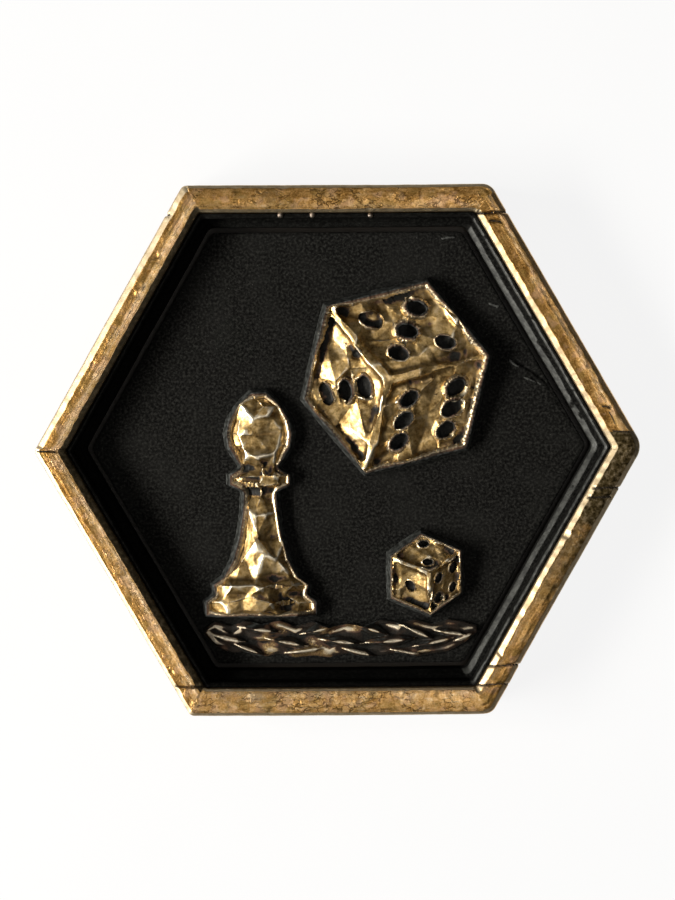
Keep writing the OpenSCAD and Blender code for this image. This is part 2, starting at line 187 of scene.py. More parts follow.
def new_object(name, mesh):
    obj = bpy.data.objects.new(name, mesh)
    bpy.context.scene.collection.objects.link(obj)
    return obj


def set_attribute(mesh, name, values):
    values = np.asarray(values, float)
    kind, field = ("FLOAT", "value") if values.ndim == 1 else ("FLOAT_VECTOR", "vector")
    mesh.attributes.new(name, kind, "POINT").data.foreach_set(field, values.ravel())


def mesh_points(mesh):
    co = np.zeros(len(mesh.vertices) * 3)
    mesh.vertices.foreach_get("co", co)
    return co.reshape(-1, 3)


def mesh_normals(mesh):
    normals = np.zeros(len(mesh.vertices) * 3)
    mesh.vertex_normals.foreach_get("vector", normals)
    return normals.reshape(-1, 3)


def move_points(mesh, points):
    mesh.vertices.foreach_set("co", points.ravel())
    mesh.update()


def node_bmesh(node):
    """The node's solid in millimetres, with its doubled points joined"""
    bm = bmesh.new()
    bm.from_mesh(frame["nodes"][node].data)
    bmesh.ops.scale(bm, vec=(1 / MM,) * 3, verts=bm.verts)
    bmesh.ops.remove_doubles(bm, verts=bm.verts, dist=JOIN_DISTANCE)
    return bm


def mesh_from(bm, name):
    mesh = bpy.data.meshes.new(name)
    bm.to_mesh(mesh)
    bm.free()
    return mesh


def smooth_mesh(mesh, angle):
    mesh.shade_smooth()
    mesh.set_sharp_from_angle(angle=radians(angle))


def corner_terms(plan):
    x, y = np.moveaxis(plan * HALF_COSINE / OUTER_APOTHEM, -1, 0)
    return np.stack([np.ones(x.shape), x, y, x * x - y * y, 2 * x * y, x ** 3 - 3 * x * y * y], axis=-1)


def settle(mesh):
    """Moves a mesh along with the corners of the hand-made outline"""
    around = np.radians(CORNER_ANGLE * np.arange(SIDES))
    corners = np.stack([np.cos(around), np.sin(around)], axis=-1) * OUTER_APOTHEM / HALF_COSINE
    weights = np.linalg.solve(corner_terms(corners), np.array(CORNER_SHIFTS))
    points = mesh_points(mesh) / MM
    points[:, :2] += corner_terms(points[:, :2]) @ weights
    move_points(mesh, points * MM)


def dress(mesh, node, finish):
    """Makes a piece of the mesh, with its material, under the root body, and hides the node it stands for"""
    settle(mesh)
    mesh.materials.append(finish)
    obj = new_object(mesh.name, mesh)
    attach(obj, "root")
    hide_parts(node)


# Keeps the waves' zero off the lattice of the noise
WAVE_SHIFT = 0.37


class Ring:
    """A grid of points round the token: rows along the outline, columns along a section.

    A section is a list of keys, each an inward offset from the outline, a height and a corner radius. A key's
    entries are numbers or one value per row."""

    def __init__(self, side_steps, arc_steps):
        rows = []
        angles = [radians(CORNER_ANGLE * k) for k in range(SIDES + 1)]
        corners = [np.array([cos(angle), sin(angle)]) / HALF_COSINE for angle in angles]
        for k in range(SIDES):
            for j in range(arc_steps + 1):
                aim = angles[k] + radians(-HALF_ANGLE + CORNER_ANGLE * j / arc_steps)
                rows.append((corners[k], (cos(aim), sin(aim)), k, CORNER_RADII[k]))
            aim = angles[k] + radians(HALF_ANGLE)
            for j in range(1, side_steps):
                f = j / side_steps
                radius = CORNER_RADII[k] * (1 - f) + CORNER_RADII[(k + 1) % SIDES] * f
                spoke = corners[k] * (1 - f) + corners[k + 1] * f
                rows.append((spoke, (cos(aim), sin(aim)), k, radius))
        self.spokes, self.facing, self.side, self.radius = [np.array(column) for column in zip(*rows)]
        self.count = len(rows)
        self.middle = self.spread([(RIM_WIDTH / 2, 0, INNER_RADIUS)], [1], False)[0][:, 0]
        steps = norm(np.diff(self.middle, axis=0), axis=1)
        self.along = np.insert(np.cumsum(steps), 0, 0)

    def wave(self, size, seed):
        """Noise along the outline, one value per row"""
        return value_noise(self.middle / size + WAVE_SHIFT, seed)

    def per_side(self, values):
        """One value per side of the token, as a column over the rows"""
        return np.array(values)[self.side][:, None]

    def spread(self, keys, counts, closed=True):
        """The points, and for each column how far along the section it lies"""
        full = [np.stack([np.broadcast_to(np.asarray(v, float), self.count) for v in key], axis=-1)
                for key in keys]
        columns, travel = [], []
        last = len(full) if closed else len(full) - 1
        for m in range(last):
            a, b = full[m], full[(m + 1) % len(full)]
            for j in range(counts[m]):
                w = j / counts[m]
                columns.append(a * (1 - w) + b * w)
                travel.append(m + w)
        if not closed:
            columns.append(full[-1])
            travel.append(float(len(full) - 1))
        grid = np.stack(columns, axis=1)
        inset = (OUTER_APOTHEM - grid[..., 0] - grid[..., 2])[..., None]
        plan = inset * self.spokes[:, None] + grid[..., 2:] * self.facing[:, None]
        return np.concatenate([plan, grid[..., 1:2]], axis=-1), np.array(travel)

    @staticmethod
    def normals(points):
        along, across = [np.roll(points, -1, axis) - np.roll(points, 1, axis) for axis in (0, 1)]
        normal = np.cross(along, across)
        return normal / np.maximum(norm(normal, axis=-1, keepdims=True), 1e-9)

    @staticmethod
    def rounded(points, share):
        """Softens a closed section's edges where share, one value per column, is above zero"""
        mean = (np.roll(points, 1, axis=1) + np.roll(points, -1, axis=1)) / 2
        return points + (mean - points) * 0.5 * share[:, None]

    def mesh(self, name, points, closed=True):
        rows, columns = points.shape[:2]
        quads = columns if closed else columns - 1
        i = np.repeat(np.arange(rows), quads)
        t = np.tile(np.arange(quads), rows)
        i2, t2 = (i + 1) % rows, (t + 1) % columns
        corners = [i * columns + t, i2 * columns + t, i2 * columns + t2, i * columns + t2]
        faces = np.stack(corners, axis=1).tolist()
        if not closed:
            faces.append([k * columns for k in range(rows)][::-1])
            faces.append([k * columns + columns - 1 for k in range(rows)])
        mesh = bpy.data.meshes.new(name)
        mesh.from_pydata((points.reshape(-1, 3) * MM).tolist(), [], faces)
        return mesh


# Rim bars

# Cracks and seams across the bars: X and Y of both ends, half width, depth
NOTCHES = [
    (-13.2, 17.3, -12.3, 17.3, 0.16, 0.16),
    (9.8, 17.28, 11.3, 17.3, 0.14, 0.12),
    (11.1, 17.32, 12.7, 17.4, 0.14, 0.1),
    (-12.2, -17.3, -8.6, -17.32, 0.1, 0.1),
    (10.0, -17.3, 12.4, -17.25, 0.1, 0.08),
    (-22.3, 0.0, -20.9, 0.0, 0.1, 0.06),
    (11.2, 16.72, 12.0, 16.64, 0.13, 0.13),
    (19.4, 3.02, 20.05, 2.92, 0.11, 0.08),
    (19.95, 2.6, 20.45, 1.7, 0.09, 0.05),
    (20.2, 1.22, 21.5, 1.1, 0.1, 0.05),
    (18.8, -2.95, 20.7, -3.0, 0.12, 0.12),
    (18.4, -3.65, 20.1, -3.75, 0.12, 0.12),
    (10.8, -15.9, 13.3, -15.85, 0.12, 0.13),
]
# Beads of solder below the top bar's inner edge: place in plan and radius
BEADS = [((-4.12, 17.3), 0.24), ((-1.78, 17.3), 0.23), ((2.45, 17.26), 0.21)]
BEAD_HEIGHT = 4.42
SEAM_GAP = 0.006
# Dents: how many, how many rows to each side of its middle one can reach, and the seed of their places
DENT_COUNT = 60
DENT_ROWS = 9
DENT_SEED = 7
# For each bar, from the upper right one on, against the clock: how wide its outer chamfer and its inner bevel
# are, how much painted highlight the two get where the light falls, partly real polishing (a bevel with
# little of it gets painted shade), and how much painted light its brass gets, below zero painted shade
CHAMFER_SHARES = [1, 0.6, 1.22, 0.72, 0.65, 1]
BEVEL_SHARES = [1, 0.6, 1, 1.25, 0.42, 1]
CHAMFER_POLISH_AND_LIGHT = [0.25, 1, 1, 1, 0.9, 0.6]
BEVEL_POLISH_AND_LIGHT = [0.55, 0.4, 0.2, 0.1, 0.8, 0.75]
BAR_PAINTED_LIGHT = [-0.2, -0.3, 0.2, 0.2, 0.6, -0.3]
# Painted light and shade across each bar: how much lighter the brass gets from the middle of a bar to its
# inner edge, and darker towards its outer edge
BAR_PAINTED_SLANTS = [-1.3, 0.3, 1.5, 1.1, 0.2, 0.4]
# Where a painted highlight, pale and torn, runs along each bar, as a share of the way in, and how strong it
# is
HIGHLIGHT_LINE_PLACES = [0.2, 0.85, 0.66, 0.84, 0.9, 0.88]
HIGHLIGHT_LINE_SHARES = [0.6, 0.25, 0.8, 1.0, 0.3, 0.6]
# How strongly each bar's brass is crazed into cells
BAR_CELLS = [0.25, 0.9, 0.35, 0.6, 1.0, 0.35]
# Travel counts the keys of the section: 0 at a bar's foot, 1 and 2 at the chamfer's edges, then one for each
# step of the crown up to the bevel, and one more at the bevel's foot
CROWN_START = 2
CROWN_END = CROWN_START + CROWN_STEPS
SECTION_STEPS = [8, 7] + [1] * CROWN_STEPS + [7, 4, 3]
# Keeps the bars' stretches of noise apart
BAR_STRIDE = 9.0
# Dark stains: two by the right point, with the place on Y where they stop, and a small one on the top bar
PATINA_MIDDLE = (20.8, -1.9)
PATINA_TAIL = (19, -6)
PATINA_TOP = 1.15
STAIN_MIDDLE = (-4.94, 18.6)
# Middle and spread, along X, of the top bar's most crazed stretch
CRAZED_MIDDLE = 0.5
CRAZED_SPREAD = 2.5


def rim_section(ring):
    """The bars' section, with edges that wander along the outline"""
    edge_top = TOP - CROWN_RISE
    outer = 0.012 * (1 + ring.wave(5, 1)) + 0.01 * (1 + ring.wave(0.9, 2))
    ragged = np.array(CHAMFER_SHARES)[ring.side] * (1 + 0.06 * ring.wave(2.4, 3) + 0.1 * ring.wave(0.5, 4))
    chamfer = CHAMFER_WIDTH * (ragged + 0.15 * smoothstep(0.6, 0.85, ring.wave(1.1, 5)))
    ragged = 1 + 0.07 * ring.wave(2.1, 13) + 0.1 * ring.wave(0.45, 14)
    ragged = ragged * np.array(BEVEL_SHARES)[ring.side]
    bevel = BEVEL_WIDTH * (ragged + 0.25 * smoothstep(0.62, 0.85, ring.wave(0.9, 15)))
    sag = 0.012 * (1 + ring.wave(3.1, 6))

    def key(offset, height):
        return offset, height, np.maximum(ring.radius - offset, INNER_RADIUS)

    keys = [key(outer, PLATE_TOP),
            key(outer, edge_top - CHAMFER_HEIGHT * chamfer / CHAMFER_WIDTH)]
    middle = (outer + chamfer + RIM_WIDTH - bevel) / 2
    half = (RIM_WIDTH - bevel - outer - chamfer) / 2
    for u in np.linspace(-1, 1, CROWN_STEPS + 1):
        fall = abs(u - CROWN_RIDGE) / (1 + copysign(1, CROWN_RIDGE - u) * CROWN_RIDGE)
        keys.append(key(middle + half * u, edge_top - sag + CROWN_BULGE * (1 - fall ** CROWN_POWER)))
    keys.append(key(RIM_WIDTH, edge_top - BEVEL_HEIGHT * bevel / BEVEL_WIDTH))
    keys.append(key(RIM_WIDTH, PLATE_TOP))
    points, travel = ring.spread(keys, SECTION_STEPS)
    visible = (travel > 0.7) & (travel < CROWN_END + 1.3)
    return ring.rounded(points, visible * 0.6), travel


def rim_flow(ring, points, travel):
    """Place along a bar and across its section, for noise that follows the bar"""
    section = norm(np.diff(points, axis=1), axis=-1).mean(axis=0)
    across = np.insert(np.cumsum(section), 0, 0)
    across = across - across[travel == CROWN_START]
    bar = ring.side[:, None] * BAR_STRIDE
    return np.stack(np.broadcast_arrays(ring.along[:, None], across, bar), -1)


def rim_layers(ring, points, travel, flow, crown, chamfered):
    """What the brass finish reads, painted light and shade among it, apart from the dirt in cracks and dents
    """
    # Painted highlight on the chamfer and the bevel, partly real polishing, strongest where the light falls
    wear_and_light = ring.per_side(BEVEL_POLISH_AND_LIGHT)
    beveled = window(travel, CROWN_END, CROWN_END + 0.12, CROWN_END + 1, CROWN_END + 1.2)
    polish_and_highlight = chamfered * ring.per_side(CHAMFER_POLISH_AND_LIGHT) + beveled * wear_and_light
    # Painted shade: brown bands along the crown's two shoulders, by the chamfer and by the bevel
    edge = np.exp(-((travel - 2.7) / 0.9) ** 2) + np.exp(-((travel - CROWN_END + 0.7) / 0.9) ** 2)
    edge = edge * (0.7 + 0.3 * value_noise(points / 0.4, 35))

    x, y = points[..., 0], points[..., 1]

    def stain(middle, near, far, squash=1):
        return 1 - smoothstep(near, far, np.hypot(x - middle[0], (y - middle[1]) * squash))

    patina_and_shade = stain(PATINA_MIDDLE, 2.2, 5.5, 0.8) * (1 - smoothstep(PATINA_TOP - 0.03, PATINA_TOP + 0.05, y))
    tail = 0.45 * stain(PATINA_TAIL, 3, 12) * (y < PATINA_TOP)
    spot = 0.36 * stain(STAIN_MIDDLE, 0.2, 1.5)
    # Bevels that get little painted highlight also take painted shade here, beside the real stains
    patina_and_shade = np.max([patina_and_shade, tail, spot, beveled * (1 - wear_and_light)], axis=0)

    # Painted light and shade: each bar lighter or darker as a whole, and across its crown where the light
    # falls
    slant = np.clip((travel - CROWN_START) / CROWN_STEPS * 2 - 1, -1, 1) + 0.1
    slant = np.tanh(2.2 * (slant + 0.3 * layered_noise(flow / np.array([1.2, 0.5, 1]), 37)))
    tint = ring.per_side(BAR_PAINTED_LIGHT) + ring.per_side(BAR_PAINTED_SLANTS) * slant
    # Painted highlight, pale and torn, along each bar
    inward = (travel - CROWN_START) / CROWN_STEPS - ring.per_side(HIGHLIGHT_LINE_PLACES)
    inward = inward + 0.07 * layered_noise(flow / np.array([0.9, 0.6, 1]), 38)
    line = np.exp(-(inward / 0.07) ** 2) * ring.per_side(HIGHLIGHT_LINE_SHARES)
    line = line * crown * (0.6 + 0.4 * value_noise(flow / np.array([0.5, 0.3, 1]), 39))
    crazed = 0.2 * np.exp(-((x - CRAZED_MIDDLE) / CRAZED_SPREAD) ** 2) * (y > 16)
    cells = ring.per_side(BAR_CELLS) + crazed
    return {"flow": flow, "polish_and_highlight": polish_and_highlight, "edge": edge, "patina_and_shade": patina_and_shade, "tint": tint, "line": line,
            "cells": cells}


def rim_grid(ring):
    points, travel = rim_section(ring)
    normal = ring.normals(points)
    upper = window(travel, 0.5, 1, CROWN_END + 1, CROWN_END + 1.3)
    crown = window(travel, 1.9, 2.1, CROWN_END - 0.2, CROWN_END + 0.1)
    chamfered = window(travel, 0.95, 1.1, 1.85, 2.0)
    flow = rim_flow(ring, points, travel)
    grain = layered_noise(points / 0.34, 21) * 0.009 + layered_noise(points / 1.3, 25) * 0.016
    streaks = value_noise(flow / np.array([1.5, 0.145, 1]), 29) * 0.01
    lift = (grain + streaks * crown - 0.02) * (0.3 + 0.7 * upper) * (0.45 + 0.55 * crown - 0.3 * chamfered)
    grime_and_shade = np.zeros(lift.shape)
    wander = np.stack([value_noise(points / 0.9, seed) for seed in (31, 32)], axis=-1)
    torn = points[..., :2] + 0.09 * wander
    for *ends, half_width, depth in NOTCHES:
        near = 1 - smoothstep(0, half_width, segment_distance(torn, ends))
        lift -= depth * near * upper
        grime_and_shade = np.maximum(grime_and_shade, smoothstep(0.2, 0.9, near) * upper)

    random = np.random.default_rng(DENT_SEED)
    spots = np.flatnonzero((travel > CROWN_START) & (travel < CROWN_END))
    for _ in range(DENT_COUNT):
        row = random.integers(ring.count)
        column = random.choice(spots)
        radius = random.uniform(0.15, 0.4)
        rows = np.arange(row - DENT_ROWS, row + DENT_ROWS + 1) % ring.count
        dip = bowl(norm(points[rows] - points[row, column], axis=-1) / radius)
        lift[rows] -= dip * radius * random.uniform(0.08, 0.18)
        grime_and_shade[rows] = np.maximum(grime_and_shade[rows], 0.3 * dip)

    points = points + normal * lift[..., None]
    points[..., 2] = np.minimum(points[..., 2], TOP)
    return points, {"grime_and_shade": grime_and_shade, **rim_layers(ring, points, travel, flow, crown, chamfered)}


def add_beads(bm):
    """Small drops on the liner against the bar's foot"""
    solder = bm.verts.layers.float.new("solder")
    polish_and_highlight = bm.verts.layers.float["polish_and_highlight"]
    for (x, y), radius in BEADS:
        place = Matrix.Translation(Vector((x, y, BEAD_HEIGHT)) * MM)
        drop = bmesh.ops.create_icosphere(bm, subdivisions=3, radius=radius * MM, matrix=place)
        for v in drop["verts"]:
            place = np.array(v.co[:]) / MM
            v.co += v.normal * 0.12 * radius * MM * float(value_noise(place / radius, 33))
            v[polish_and_highlight] = 1
            v[solder] = 1


def cut_bar(bm, node):
    """Cuts one bar out of the whole rim and closes its ends"""
    low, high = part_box(node)
    edge = OUTER_APOTHEM * MM * 0.99
    closing = (low_mm("rim_top")[1] - SEAM_Y - SEAM_GAP) / 2 * MM
    for y, side in (low.y - closing, -1), (high.y + closing, 1):
        if abs(y) < edge:
            geometry = bm.verts[:] + bm.edges[:] + bm.faces[:]
            bmesh.ops.bisect_plane(bm, geom=geometry, plane_co=(0, y, 0), plane_no=(0, side, 0),
                                   clear_outer=True, dist=1e-9)
    if "right" in node or "left" in node:
        side = 1 if "right" in node else -1
        bmesh.ops.delete(bm, geom=[v for v in bm.verts if v.co.x * side < 0], context="VERTS")
    bmesh.ops.holes_fill(bm, edges=[e for e in bm.edges if e.is_boundary], sides=0)
    bmesh.ops.recalc_face_normals(bm, faces=bm.faces)


def rim_bars(finish):
    ring = Ring(*RIM_ROWS)
    points, layers = rim_grid(ring)
    whole = ring.mesh("rim", points)
    for name, values in layers.items():
        set_attribute(whole, name, values.reshape(ring.count * points.shape[1], -1).squeeze())
    for node in [n for n in frame["nodes"] if n.startswith("rim_")]:
        bm = bmesh.new()
        bm.from_mesh(whole)
        cut_bar(bm, node)
        if node == "rim_top":
            add_beads(bm)
        mesh = mesh_from(bm, node + "_worn")
        smooth_mesh(mesh, RIM_SHARP)
        dress(mesh, node, finish)


# Liners and back plate

# How strongly the liners' edges are worn pale on each side, from the upper right one on, against the clock:
# partly real scuffs, partly painted highlight on the lit sides; the sides without it get painted shade
LINER_WEAR_AND_LIGHT = [1, 0.35, 0, 0, 0, 0.85]
# Apothem of the face that closes the middle of the back plate's section
PLATE_CORE = 0.8
PLATE_STEPS = [40, 3, 6, 3, 2, 2]
PLATE_DENT_COUNT = 70
PLATE_DENT_DEPTH = 0.025
PLATE_DENT_SEED = 62


def liner(node, keys, counts, seed, finish):
    ring = Ring(*LINER_ROWS)
    points, travel = ring.spread(keys(ring), counts)
    points = ring.rounded(points, ((travel > 0.9) & (travel < 3.6)) * 0.4)
    lift = layered_noise(points / 0.3, seed) * 0.003 + layered_noise(points / 2.5, seed + 4) * 0.004 - 0.004
    inside = smoothstep(1.2, 1.6, travel)[:, None]
    points = points + ring.normals(points) * lift[..., None] * inside
    mesh = ring.mesh(node + "_lacquered", points)
    wear_and_light = ring.per_side(LINER_WEAR_AND_LIGHT)
    breaks = 0.75 + 0.25 * smoothstep(-0.6, 0.2, value_noise(points / 0.5, seed + 9))
    breaks *= 1 - 0.8 * smoothstep(0.6, 0.8, value_noise(points / 0.6, seed + 10))
    breaks *= wear_and_light
    # Painted highlight on the scuffed edges of the lit sides, and painted shade on the sides the light misses
    set_attribute(mesh, "edge", (window(travel, 1.85, 2.1, 2.9, 3.15) * breaks).ravel())
    set_attribute(mesh, "deep", np.broadcast_to(1 - wear_and_light, lift.shape).ravel())
    smooth_mesh(mesh, LINER_SHARP)
    dress(mesh, node, finish)


def jogs(ring, size, seed):
    """Small steps to and fro along a hand-cut edge"""
    return smoothstep(-0.12, 0.12, ring.wave(size, seed)) - 0.5


def liner_keys(inner, chamfer, foot, top, radius):
    return [(LINER_OUTSIDE, foot, INNER_RADIUS), (LINER_OUTSIDE, top, INNER_RADIUS),
            (inner - chamfer, top, radius), (inner, top - chamfer, radius), (inner, foot, radius)]


def upper_liner_keys(ring):
    inner = LINER_OUTSIDE + UPPER_LINER_WALL + 0.02 * jogs(ring, 2.6, 41) + 0.015 * ring.wave(0.5, 42)
    chamfer = UPPER_LINER_CHAMFER * (1 + 0.2 * ring.wave(0.4, 43))
    return liner_keys(inner, chamfer, LEDGE_TOP, UPPER_LINER_TOP, INNER_RADIUS)


def lower_liner_keys(ring):
    inner = LINER_OUTSIDE + LOWER_LINER_WALL + 0.03 * jogs(ring, 3.3, 51) - 0.02
    chamfer = LOWER_LINER_CHAMFER * (1 + 0.12 * jogs(ring, 2.2, 53))
    return liner_keys(inner, chamfer, STEP_TOP, LEDGE_TOP, LINER_RADIUS)


# For each liner: its section, the steps along each stretch of it, and the seed of its grain
LINERS = {
    "liner_upper": (upper_liner_keys, [4, 2, 4, 5, 1], 81),
    "liner_lower": (lower_liner_keys, [2, 5, 5, 5, 2], 85),
}


def back_plate(finish):
    ring = Ring(*PLATE_ROWS)
    core = OUTER_APOTHEM - PLATE_CORE
    keys = [(core, 0, INNER_RADIUS),
            (PLATE_CHAMFER, 0, ring.radius - PLATE_CHAMFER),
            (0, PLATE_CHAMFER, ring.radius),
            (0, PLATE_TOP, ring.radius),
            (LINER_OUTSIDE, PLATE_TOP, INNER_RADIUS),
            (LINER_OUTSIDE, STEP_TOP, INNER_RADIUS),
            (core, STEP_TOP, INNER_RADIUS)]
    points, travel = ring.spread(keys, PLATE_STEPS, False)
    normal = ring.normals(points)
    outside = (travel > 0) & (travel < 2.9)
    spots = np.flatnonzero(outside)
    lift = layered_noise(points / 2.5, 61) * 0.01 - 0.018
    grime_and_shade = np.zeros(lift.shape)
    random = np.random.default_rng(PLATE_DENT_SEED)
    for _ in range(PLATE_DENT_COUNT):
        row, column = random.integers(ring.count), random.choice(spots)
        radius = random.uniform(0.4, 1.1)
        dip = bowl(norm(points - points[row, column], axis=-1) / radius)
        lift -= dip * PLATE_DENT_DEPTH
        grime_and_shade = np.maximum(grime_and_shade, 0.4 * dip)
    lift[:, ~outside] = 0
    # Painted shade: the plate's top under the floor panel, seen only down the groove, is made black
    grime_and_shade[:, travel > 3.5] = 1
    points = points + normal * lift[..., None]
    points[..., 2] = np.maximum(points[..., 2], 0)
    mesh = ring.mesh("base_plate_worn", points, False)
    edge = np.exp(-((travel - 1.5) / 0.5) ** 2)
    for name, values in {"grime_and_shade": grime_and_shade, "edge": edge, "patina_and_shade": 0.12, "cells": 0.3}.items():
        set_attribute(mesh, name, np.broadcast_to(values, grime_and_shade.shape).ravel())
    set_attribute(mesh, "flow", points.reshape(-1, 3))
    smooth_mesh(mesh, PLATE_SHARP)
    dress(mesh, "base_plate", finish)


# Floor panel

# Scratches and burrs: X and Y of both ends, half width, and height, which is below zero for a scratch
MARKS = [
    (13.4, 6.3, 15.4, 5.0, 0.18, -0.18),
    (14.2, 5.5, 14.9, 4.8, 0.1, -0.1),
    (10.9, 10.1, 12.2, 9.5, 0.09, -0.05),
    (5.2, -6.6, 5.7, -6.0, 0.08, -0.04),
    (4.9, -7.3, 5.3, -6.5, 0.08, -0.04),
    (15.6, -3.4, 12.2, -9.6, 0.08, -0.03),
    (15.9, -1.6, 14.4, -4.4, 0.08, -0.02),
    (12.9, 6.4, 13.5, 6.0, 0.13, 0.1),
    (14.0, 5.1, 15.1, 4.7, 0.1, 0.08),
    (11.3, 10.65, 12.0, 10.45, 0.12, 0.08),
    (11.9, 10.4, 12.1, 10.0, 0.08, 0.03),
    (7.9, 15.55, 8.7, 15.6, 0.1, 0.07),
    (10.6, 9.2, 11.0, 8.9, 0.07, 0.03),
    (15.1, 4.6, 15.5, 4.3, 0.09, 0.03),
    (5.3, -7.2, 5.5, -6.4, 0.06, 0.03),
]
# Distance between the top face's points, away from the marks and along them
FLOOR_PITCH = 0.33
FINE_PITCH = 0.09
FLOOR_SEED = 71
# The points of one round hole lie within this distance, and there are more of them than this
HOLE_REACH = 1.1
HOLE_POINTS = 20


def mark_distance(plan):
    """Distance from each point to the nearest scratch or burr"""
    return np.min([segment_distance(plan, ends) - half_width for *ends, half_width, _ in MARKS], axis=0)


def in_hexagon(plan, apothem):
    facing = np.radians(HALF_ANGLE + CORNER_ANGLE * np.arange(SIDES))
    return (plan @ np.stack([np.cos(facing), np.sin(facing)])).max(axis=1) < apothem


def floor_points(border):
    """Points inside the border: an uneven grid, and a finer one along the marks"""
    reach = np.abs(border).max(axis=0)
    random = np.random.default_rng(FLOOR_SEED)
    grid = lattice(-reach, reach, FLOOR_PITCH).reshape(-1, 2)
    grid += random.uniform(-0.28, 0.28, grid.shape) * FLOOR_PITCH
    grid = grid[in_hexagon(grid, reach[1] - FLOOR_PITCH * 0.6)]
    gap = np.concatenate([norm(chunk[:, None] - border[None], axis=-1).min(axis=1)
                          for chunk in np.array_split(grid, 8)])
    grid = grid[(gap > FLOOR_PITCH * 0.5) & (mark_distance(grid) > FINE_PITCH * 2)]
    fine = lattice(-reach, reach, FINE_PITCH).reshape(-1, 2)
    fine = fine[(mark_distance(fine) < FINE_PITCH) & in_hexagon(fine, reach[1] - FINE_PITCH * 2)]
    fine += random.uniform(-0.25, 0.25, fine.shape) * FINE_PITCH
    return np.concatenate([grid, fine])


def floor_lift(plan):
    """Height of the worn top face over its plane"""
    lift = layered_noise(np.insert(plan / 0.5, 2, 0, axis=1), 72) * 0.006 - 0.008
    place = np.insert(plan / 0.6, 2, 0, axis=1)
    marked = plan + 0.07 * np.stack([value_noise(place, seed) for seed in (73, 74)], axis=-1)
    for *ends, half_width, height in MARKS:
        lift += height * (1 - smoothstep(0, half_width, segment_distance(marked, ends)))
    return lift


def holes_in(border):
    """Middle and radius of each round hole, from the points of all the loops"""
    left, holes = border, []
    while len(left):
        near = norm(left - left[0], axis=1) < HOLE_REACH
        middle = left[near].mean(axis=0)
        spread = norm(left[near] - middle, axis=1)
        if near.sum() > HOLE_POINTS and np.ptp(spread) < 0.05:
            holes.append((middle, spread.mean()))
        left = left[~near]
    return holes


def floor_panel(finish):
    bm = node_bmesh("floor_panel")
    bmesh.ops.recalc_face_normals(bm, faces=bm.faces)
    tops = [f for f in bm.faces if f.normal.z > 0.99 and f.calc_center_median().z > FLOOR_TOP - 0.01]
    loops = [e for f in tops for e in f.edges if sum(g in tops for g in e.link_faces) == 1]
    fixed = list(dict.fromkeys(v for e in loops for v in e.verts))
    edges = [tuple(fixed.index(v) for v in e.verts) for e in loops]
    border = np.array([v.co[:2] for v in fixed])
    plan = np.concatenate([border, floor_points(border)])
    net = delaunay_2d_cdt([Vector(p) for p in plan], edges, [], 0, 1e-7)
    plan, triangles = np.array([v[:] for v in net[0]]), net[2]
    lift = floor_lift(plan)
    lift[norm(plan[:, None] - border[None], axis=-1).min(axis=1) < JOIN_DISTANCE] = 0

    bmesh.ops.delete(bm, geom=tops, context="FACES")
    verts = [bm.verts.new((*p, FLOOR_TOP + h)) for p, h in zip(plan, lift)]
    peg_holes = holes_in(border)
    for triangle in triangles:
        middle = plan[list(triangle)].mean(axis=0)
        if all(norm(middle - place) >= radius for place, radius in peg_holes):
            bm.faces.new([verts[k] for k in triangle])
    bmesh.ops.remove_doubles(bm, verts=bm.verts, dist=1e-3)
    bmesh.ops.delete(bm, geom=[v for v in bm.verts if not v.link_faces], context="VERTS")
    bmesh.ops.recalc_face_normals(bm, faces=bm.faces)
    bmesh.ops.scale(bm, vec=(MM,) * 3, verts=bm.verts)
    mesh = mesh_from(bm, "floor_panel_lacquered")
    set_attribute(mesh, "edge", smoothstep(0.0, 0.04, mesh_points(mesh)[:, 2] / MM - FLOOR_TOP))
    smooth_mesh(mesh, PLATE_SHARP)
    dress(mesh, "floor_panel", finish)


# Relief

# For each piece: voxel size, heights of the large and the small facets, distance between the large ones, how
# much gold the hollows keep, and seed. The ground band has no facets, and its gold lies on its crests.
RELIEF_PIECES = {
    "large_die": (0.08, (0.34, 0.05), 1.7, 0.92, 92),
    "small_die": (0.07, (0.2, 0.03), 1.3, 0.9, 95),
    "pawn": (0.08, (0.3, 0.05), 1.5, 0.92, 98),
    "ground_band": (0.07, None, None, 0.12, 101),
}
# Passes of averaging on coarse voxels, one count for each use
COARSE_VOXEL = 0.1
SLOPE_PASSES = 4
WELL_PASSES = 140
FACET_PASSES = 16
CREST_PASSES = 36
INWARD_PASSES = 24
# Points of an even mesh that lie closer than this are joined, so that no face is flat
EVEN_JOIN = 2e-3


def remeshed(node, voxel):
    """The node's solid as an even mesh, in millimetres"""
    obj = new_object("even", mesh_from(node_bmesh(node), "even"))
    remesh = obj.modifiers.new("even", "REMESH")
    remesh.mode = "VOXEL"
    remesh.voxel_size = voxel
    graph = bpy.context.evaluated_depsgraph_get()
    graph.update()
    even = bpy.data.meshes.new_from_object(obj.evaluated_get(graph))
    bpy.data.objects.remove(obj)
    bm = bmesh.new()
    bm.from_mesh(even)
    bmesh.ops.remove_doubles(bm, verts=bm.verts, dist=EVEN_JOIN)
    return mesh_from(bm, node + "_gilded")


def neighbours(mesh):
    edges = np.zeros(len(mesh.edges) * 2, np.int64)
    mesh.edges.foreach_get("vertices", edges)
    edges = edges.reshape(-1, 2)
    return np.concatenate([edges, edges[:, ::-1]])


def averaged(values, pairs, passes):
    """Values per point, each pass blended half way to the mean of the neighbours"""
    count = len(values)
    start, end = pairs.T
    degree = np.bincount(start, minlength=count)[:, None]
    flat = values.reshape(count, -1)
    for _ in range(passes):
        total = np.stack([np.bincount(start, column[end], count) for column in flat.T], axis=1)
        flat = (flat + total / degree) / 2
    return flat.reshape(values.shape)


